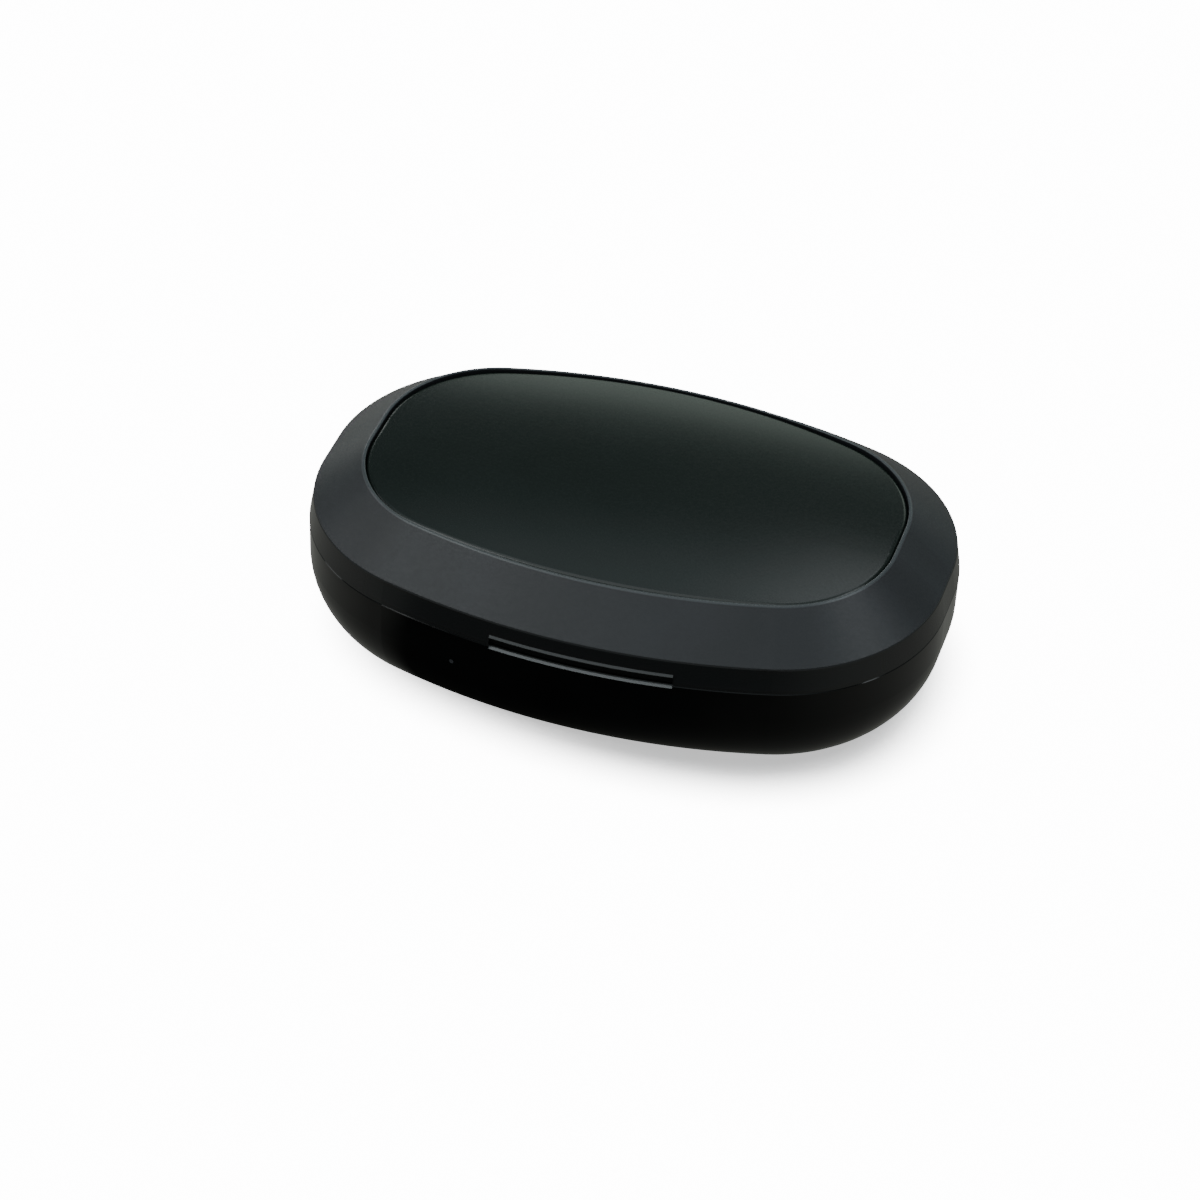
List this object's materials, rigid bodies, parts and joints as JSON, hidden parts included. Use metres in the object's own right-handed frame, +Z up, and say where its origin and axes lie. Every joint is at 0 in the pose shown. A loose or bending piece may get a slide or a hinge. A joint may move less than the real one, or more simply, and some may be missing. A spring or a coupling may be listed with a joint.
{
  "type": "wireless earbuds charging case",
  "caption": "Oval clamshell charging case for ear-hook earbuds: rounded base, chamfered lid with a crowned top panel, rear hinge and a tray with two shaped wells.",
  "frame": {"origin": "under the middle of the base's flat foot, on the surface the case stands on", "axes": "+X along the case, -Y towards the side that opens and has the finger notch, +Z up"},
  "size_m": [0.0988, 0.0677, 0.0303],
  "materials": {
    "base_gloss": "piano-black gloss",
    "lid_satin": "satin charcoal",
    "panel_satin": "satin, green-black",
    "tray_matte": "matte black",
    "liner_matte": "matte black",
    "tape": "matte foam tape",
    "pad": "matte foam",
    "steel": "plain steel",
    "magnet": "nickel plated",
    "board": "green solder mask",
    "chip": "matte black epoxy",
    "gold": "gold plated",
    "nickel": "nickel strip",
    "socket_plastic": "black insulator",
    "battery_foil": "foil pouch",
    "light": "frosted, translucent",
    "led": "clear epoxy"
  },
  "bodies": {
    "base": {"base_shell": "base_gloss", "cradle_tray": "tray_matte", "hinge_pin": "steel", "base_magnets": "magnet", "bud_magnets": "magnet", "main_pcb": "board", "pcb_chips": "chip", "pcb_screws": "steel", "usb_socket_shell": "steel", "usb_socket_core": "socket_plastic", "battery_pad": "pad", "battery_cell": "battery_foil", "battery_tabs": "nickel", "light_pipe": "light", "indicator_board": "board", "status_led": "led", "hall_sensor": "chip", "contact_barrels": "gold", "contact_spring_1": "steel", "contact_spring_2": "steel", "contact_spring_3": "steel", "contact_spring_4": "steel"},
    "lid": {"lid_shell": "lid_satin", "lid_panel": "panel_satin", "panel_tape": "tape", "lid_liner": "liner_matte", "lid_magnets": "magnet"},
    "plunger_1": {"contact_plunger_1": "gold"},
    "plunger_2": {"contact_plunger_2": "gold"},
    "plunger_3": {"contact_plunger_3": "gold"},
    "plunger_4": {"contact_plunger_4": "gold"}
  },
  "joints": [
    {"name": "lid_hinge", "type": "hinge", "parent": "base", "child": "lid", "pos_m": [0, 0.0325, 0.0188], "axis": [-1, 0, 0], "range_deg": [0, 105]},
    {"name": "contact_1", "type": "slide", "parent": "base", "child": "plunger_1", "axis": [0, 0, -1], "range_m": [0, 0.0008], "stiffness_N_per_m": 100, "springref_m": -0.0005, "deforming": ["contact_spring_1"]},
    {"name": "contact_2", "type": "slide", "parent": "base", "child": "plunger_2", "axis": [0, 0, -1], "range_m": [0, 0.0008], "stiffness_N_per_m": 100, "springref_m": -0.0005, "deforming": ["contact_spring_2"]},
    {"name": "contact_3", "type": "slide", "parent": "base", "child": "plunger_3", "axis": [0, 0, -1], "range_m": [0, 0.0008], "stiffness_N_per_m": 100, "springref_m": -0.0005, "deforming": ["contact_spring_3"]},
    {"name": "contact_4", "type": "slide", "parent": "base", "child": "plunger_4", "axis": [0, 0, -1], "range_m": [0, 0.0008], "stiffness_N_per_m": 100, "springref_m": -0.0005, "deforming": ["contact_spring_4"]}
  ]
}
